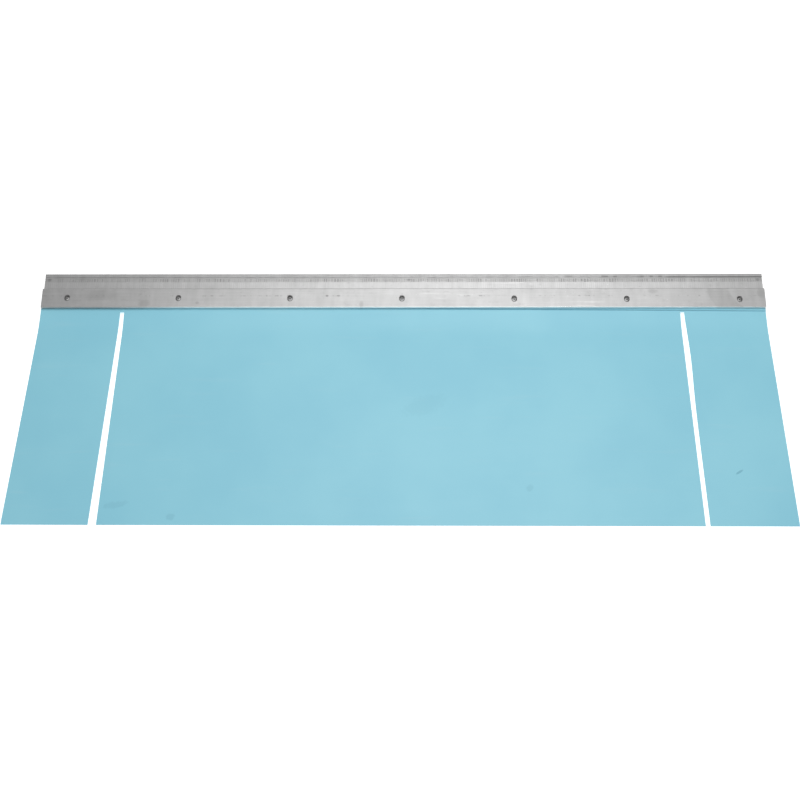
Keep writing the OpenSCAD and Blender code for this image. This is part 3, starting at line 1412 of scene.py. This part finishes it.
@dataclass
class ClampScrews:
    """Raised countersunk socket screws along the clamp bar.

    Attributes:
        plane: The rail's axes.
        finish: Their steel.
        pitch: Distance between neighbours.
        middle_u: Where the row's middle lies.
        drift: How far the row drifts forwards from first to last.
        rim_w: Height of the heads' rims.
        crown: How far the heads' middles stand above their rims.
        length: Length with the head.
        head: Radius of the head.
        shank: Radius of the shank.
        core: Radius at the thread's root.
        thread: Distance between thread ridges.
        socket: Half the width across the socket's flats.
        depth: Depth of the socket.
        sides: Number of facets round a screw.
        wear_and_highlight: How bright each head's middle is made, from left to right: worn by tools, plus a
            painted highlight.
    """

    plane: RailPlane
    finish: bpy.types.Material
    pitch: float = SCREW_PITCH
    middle_u: float = SCREW_ROW_U
    drift: float = 3.0 * MM
    rim_w: float = 11.6 * MM
    crown: float = 0.5 * MM
    length: float = 10.0 * MM
    head: float = 4.5 * MM
    shank: float = 2.45 * MM
    core: float = 2.1 * MM
    thread: float = 0.8 * MM
    socket: float = 1.5 * MM
    depth: float = 2.0 * MM
    sides: int = 48
    wear_and_highlight: tuple[float, ...] = (0.7, 0.6, 0.5, 0.5, 0.5, 0.5, 0.4)

    def hexagon(self, angle: float) -> float:
        """Distance from the axis to the socket's wall in a direction."""
        corner = math.radians(60.0)
        return self.socket / math.cos((angle % corner) - corner / 2)

    def top(self, radius: float) -> float:
        """Height of the domed head at a distance from its axis."""
        return self.crown * (1.0 - (radius / self.head) ** 2)

    def socket_rings(self, turn: float) -> list[tuple[Callable[[float], float], float, float]]:
        """Radius, height and brightness of the rings from the socket's bottom up to its rim; the brightness
        is worn steel plus a painted highlight.

        Args:
            turn: How far the socket is turned, in radians.

        Returns:
            The rings, from the lowest.
        """
        rim = self.top(self.socket)
        return [
            (lambda angle: 0.2 * self.socket, rim - self.depth - 0.4 * MM, 0.8),
            (lambda angle: 0.86 * self.hexagon(angle - turn), rim - self.depth, 0.8),
            (lambda angle: self.hexagon(angle - turn), rim - self.depth + 0.15 * MM, 0.1),
            (lambda angle: self.hexagon(angle - turn), rim - 0.15 * MM, 0.3),
            (lambda angle: self.hexagon(angle - turn) + 0.15 * MM, rim - 0.02 * MM, 1.0),
        ]

    def body_rings(self) -> list[tuple[Callable[[float], float], float, float]]:
        """Radius, height and brightness of the rings from the head's dome down to the tip; the brightness is
        worn steel plus a painted highlight.
        """
        rings = [(radius * MM, self.top(radius * MM), wear_and_highlight) for radius, wear_and_highlight in
                 ((2.1, 0.7), (2.6, 0.45), (3.1, 0.2), (3.6, 0.0), (4.3, 0.0))]
        rings += [(self.head, -0.1 * MM, 0.05), (self.head, -0.25 * MM, 0.0)]
        throat = self.shank - self.head - 0.25 * MM
        rings.append((self.shank, throat, 0.0))
        height = throat - 0.5 * MM
        while height > self.thread - self.length:
            rings += [(self.shank, height, 0.2), (self.core, height - self.thread / 2, 0.0)]
            height -= self.thread
        rings += [(self.core, 0.3 * MM - self.length, 0.0), (0.85 * self.core, -self.length, 0.2)]
        return [(lambda angle, reach=radius: reach, height, wear_and_highlight) for radius, height, wear_and_highlight in rings]

    def build_one(
        self, bm: bmesh.types.BMesh, turn: float, wear_and_highlight: float, lit_side: Vector
    ) -> list[bmesh.types.BMVert]:
        """Adds one screw at the origin, its head's rim at height zero.

        Args:
            bm: The shape to add it to.
            turn: How far its socket is turned, in radians.
            wear_and_highlight: How bright its head is made: worn by tools, plus a painted highlight.
            lit_side: Direction towards the lights, in which the painted highlight reaches further.

        Returns:
            The screw's vertices.
        """
        layer = bm.verts.layers.float["wear_and_highlight"]
        ring = bmesh.ops.create_circle(bm, cap_ends=False, segments=self.sides, radius=1.0)["verts"]
        edges = list({edge for vertex in ring for edge in vertex.link_edges})
        placed = list(ring)
        first = edges
        for number, (radius, height, worn) in enumerate(self.socket_rings(turn) + self.body_rings()):
            if number:
                made = bmesh.ops.extrude_edge_only(bm, edges=edges)["geom"]
                ring = [item for item in made if isinstance(item, bmesh.types.BMVert)]
                fresh = set(ring)
                lines = [item for item in made if isinstance(item, bmesh.types.BMEdge)]
                edges = [edge for edge in lines if fresh.issuperset(edge.verts)]
                placed += ring
            for vertex in ring:
                angle = math.atan2(vertex.co.y, vertex.co.x)
                reach = radius(angle)
                vertex.co = Vector((reach * math.cos(angle), reach * math.sin(angle), height))
                aside = vertex.co.dot(lit_side) / self.head
                vertex[layer] = worn * wear_and_highlight * (1.0 + 0.6 * aside)
        bmesh.ops.edgeloop_fill(bm, edges=first)
        bmesh.ops.edgeloop_fill(bm, edges=edges)
        return placed

    def build(self) -> None:
        """Builds the row of screws as one piece."""
        count = len(self.wear_and_highlight)
        bm = bmesh.new()
        bm.verts.layers.float.new("wear_and_highlight")
        for i, wear_and_highlight in enumerate(self.wear_and_highlight):
            x = (i - (count - 1) / 2) * self.pitch
            u = self.middle_u + self.drift * (0.5 - i / (count - 1))
            # Painted highlight: each head is lit further towards the rail's middle and front, where the
            # lights hang.
            lit_side = Vector((-x, -0.5, 0.0)).normalized()
            placed = self.build_one(bm, math.radians(17.0 + 23.0 * i), wear_and_highlight, lit_side)
            bmesh.ops.transform(bm, matrix=self.plane.stand(x, u, self.rim_w), verts=placed)
        piece = make_piece("clamp_screw_row", bm, self.finish, 32.0)
        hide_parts("clamp_screws")
        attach(piece, "rail")
        report(piece)


@dataclass
class SqueegeeBlade:
    """The rubber strip in the channel under the rail's rear edge.

    Attributes:
        plane: The rail's axes.
        finish: Its rubber.
        middle_u: Where its middle lies.
        thickness: Its thickness.
        top_w: Height of its hidden upper edge.
        radius: Rounding of its edges.
        cuts: Number of cuts along it.
        waver: How far its lower edge wanders.
    """

    plane: RailPlane
    finish: bpy.types.Material
    middle_u: float = 57.0 * MM
    thickness: float = 4.9 * MM
    top_w: float = 2.5 * MM
    radius: float = 0.5 * MM
    cuts: int = 150
    waver: float = 0.12 * MM

    def build(self) -> None:
        """Builds the strip."""
        low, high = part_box("squeegee_blade")
        length = high.x - low.x
        foot_w = -(self.middle_u - self.thickness / 2) * math.tan(self.plane.lean)
        height = self.top_w - foot_w
        bm = bmesh.new()
        bmesh.ops.create_cube(bm, size=1.0)
        bmesh.ops.scale(bm, vec=(length, self.thickness, height), verts=bm.verts)
        lower = [edge for edge in long_edges(bm, length / 2) if edge.verts[0].co.z < 0.0]
        bevel(bm, lower, self.radius, 3)
        bmesh.ops.subdivide_edges(bm, edges=long_edges(bm, length / 2), cuts=self.cuts, use_grid_fill=True)
        for vertex in bm.verts:
            if vertex.co.z < 0.0:
                vertex.co.y += self.waver * noise.noise(Vector((vertex.co.x * 12.0, 1.5, 0.0)))
        bm.transform(self.plane.stand((low.x + high.x) / 2, self.middle_u, (self.top_w + foot_w) / 2))
        piece = make_piece("blade_strip", bm, self.finish, 40.0)
        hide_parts("squeegee_blade")
        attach(piece, "rail")
        report(piece)


# The studio


@dataclass(frozen=True)
class SoftBox:
    """A rectangular studio light.

    Attributes:
        name: The light's name.
        place: Where it hangs.
        aim: What it points at.
        width: Its size along X before it is aimed.
        depth: Its other size.
        power: Its power in watts.
    """

    name: str
    place: Triple
    aim: Triple
    width: float
    depth: float
    power: float

    def hang(self) -> None:
        """Adds the light to the scene."""
        data = bpy.data.lights.new(self.name, "AREA")
        data.shape = "RECTANGLE"
        data.size, data.size_y = self.width, self.depth
        data.energy = self.power
        lamp = bpy.data.objects.new(self.name, data)
        lamp.location = self.place
        direction = Vector(self.aim) - Vector(self.place)
        lamp.rotation_euler = direction.to_track_quat("-Z", "Y").to_euler()
        bpy.context.scene.collection.objects.link(lamp)


@dataclass(frozen=True)
class ViewPoint:
    """The camera.

    Attributes:
        place: Where it stands.
        pitch: How far it looks down, in degrees.
        yaw: How far it looks to the right, in degrees.
        roll: How far it is rolled, in degrees.
        lens: Its focal length in millimetres, on a sensor 36 mm wide.
    """

    place: Triple = (0.0237, -0.8624, 1.7069)
    pitch: float = 63.44
    yaw: float = -1.75
    roll: float = -1.53
    lens: float = 50.0

    def set_up(self) -> None:
        """Adds the camera and makes it the scene's own."""
        data = bpy.data.cameras.new("camera")
        data.lens, data.sensor_width = self.lens, 36.0
        data.clip_start, data.clip_end = 0.01, 50.0
        camera = bpy.data.objects.new("camera", data)
        turn = Matrix.Rotation(math.radians(-self.yaw), 4, "Z")
        turn = turn @ Matrix.Rotation(math.radians(90.0 - self.pitch), 4, "X")
        turn = turn @ Matrix.Rotation(math.radians(self.roll), 4, "Z")
        camera.matrix_world = Matrix.Translation(self.place) @ turn
        bpy.context.scene.collection.objects.link(camera)
        bpy.context.scene.camera = camera


@dataclass
class Studio:
    """Floor, lights and camera.

    Attributes:
        floor_half: Half the floor's side.
        floor_drop: How far the floor lies below the sheet.
        sky: Brightness of the light from all around.
        boxes: The lights.
        view: The camera.
    """

    floor_half: float = 6.0
    floor_drop: float = 0.2 * MM
    sky: float = 0.45
    boxes: tuple[SoftBox, ...] = (
        SoftBox("overhead_box", (0.2, 0.5, 2.0), (0.15, 0.1, 0.0), 1.5, 1.2, 19.0),
        SoftBox("front_fill", (-0.4, -2.4, 2.0), (0.0, 0.0, 0.0), 2.4, 1.4, 6.0),
        SoftBox("low_front_box", (0.2, -2.6, 0.75), (0.1, 0.17, 0.0), 1.6, 0.8, 12.0),
    )
    view: ViewPoint = ViewPoint()

    def lay_floor(self) -> None:
        """Adds the plain pale floor."""
        bm = bmesh.new()
        bmesh.ops.create_grid(bm, x_segments=1, y_segments=1, size=self.floor_half)
        bmesh.ops.translate(bm, vec=(0.0, 0.0, -self.floor_drop), verts=bm.verts)
        floor = make_piece("studio_floor", bm, FloorFinish().material(), 30.0)
        if floor.data.polygons[0].normal.z < 0.0:
            floor.data.flip_normals()

    def light(self) -> None:
        """Adds the light from all around and the soft boxes."""
        world = bpy.data.worlds.new("studio")
        world.use_nodes = True
        background = world.node_tree.nodes["Background"]
        background.inputs["Color"].default_value = grey(1.0)
        background.inputs["Strength"].default_value = self.sky
        bpy.context.scene.world = world
        for box in self.boxes:
            box.hang()

    def build(self) -> None:
        """Sets up the whole studio."""
        bpy.context.scene.view_settings.view_transform = "Standard"
        self.lay_floor()
        self.light()
        self.view.set_up()


CLAMP_STAINS = tuple(
    Stain(x * MM, u * MM, reach_x * MM, reach_u * MM, strength)
    for x, u, reach_x, reach_u, strength in (
        (-545.0, 24.0, 34.0, 12.0, 0.10),
        (-598.0, 25.0, 12.0, 9.0, 0.06),
        (-460.0, 8.0, 12.0, 7.0, 0.14),
        (-366.0, 9.0, 3.5, 3.0, 0.2),
        (-134.0, 22.5, 3.0, 2.0, 0.4),
        (-113.0, 22.5, 3.0, 1.8, 0.3),
        (-72.0, 5.0, 4.0, 8.0, 0.14),
        (447.0, 31.0, 9.0, 5.0, 0.12),
        (640.0, 27.0, 9.0, 9.0, 0.14),
    )
)


def main() -> None:
    """Builds the applicator's looks and its studio."""
    logging.basicConfig(level=logging.INFO, format="%(name)s: %(message)s")
    path = SheetPath.from_hinge(frame["joints"][0]["pos_m"], LEAN, SEAT_W, SHEET_THICKNESS)
    plane = path.rail
    rail_metal = RailFinish("rail_aluminium", plane, Grain.ACROSS, 0.44, 0.5).material()
    clamp_metal = ClampFinish("clamp_aluminium", plane, Grain.ALONG, 0.42, 0.5, CLAMP_STAINS).material()
    band_metal = CrimpFinish("band_aluminium", plane, Grain.ACROSS, 0.44, 0.5).material()
    Sheet(path, BlueSheetFinish().material(), StripFinish(plane=plane).material()).build()
    Rail(plane, rail_metal, band_metal).build()
    dress("clamp_bar", clamp_metal)
    ClampScrews(plane, DarkSteelFinish("screw_steel", 0.19, 0.6, "wear_and_highlight").material()).build()
    dress("blade_pins", DarkSteelFinish("pin_steel", 0.3, 0.5).material())
    SqueegeeBlade(plane, RubberFinish().material()).build()
    Studio().build()


if __name__ == "__main__":
    main()
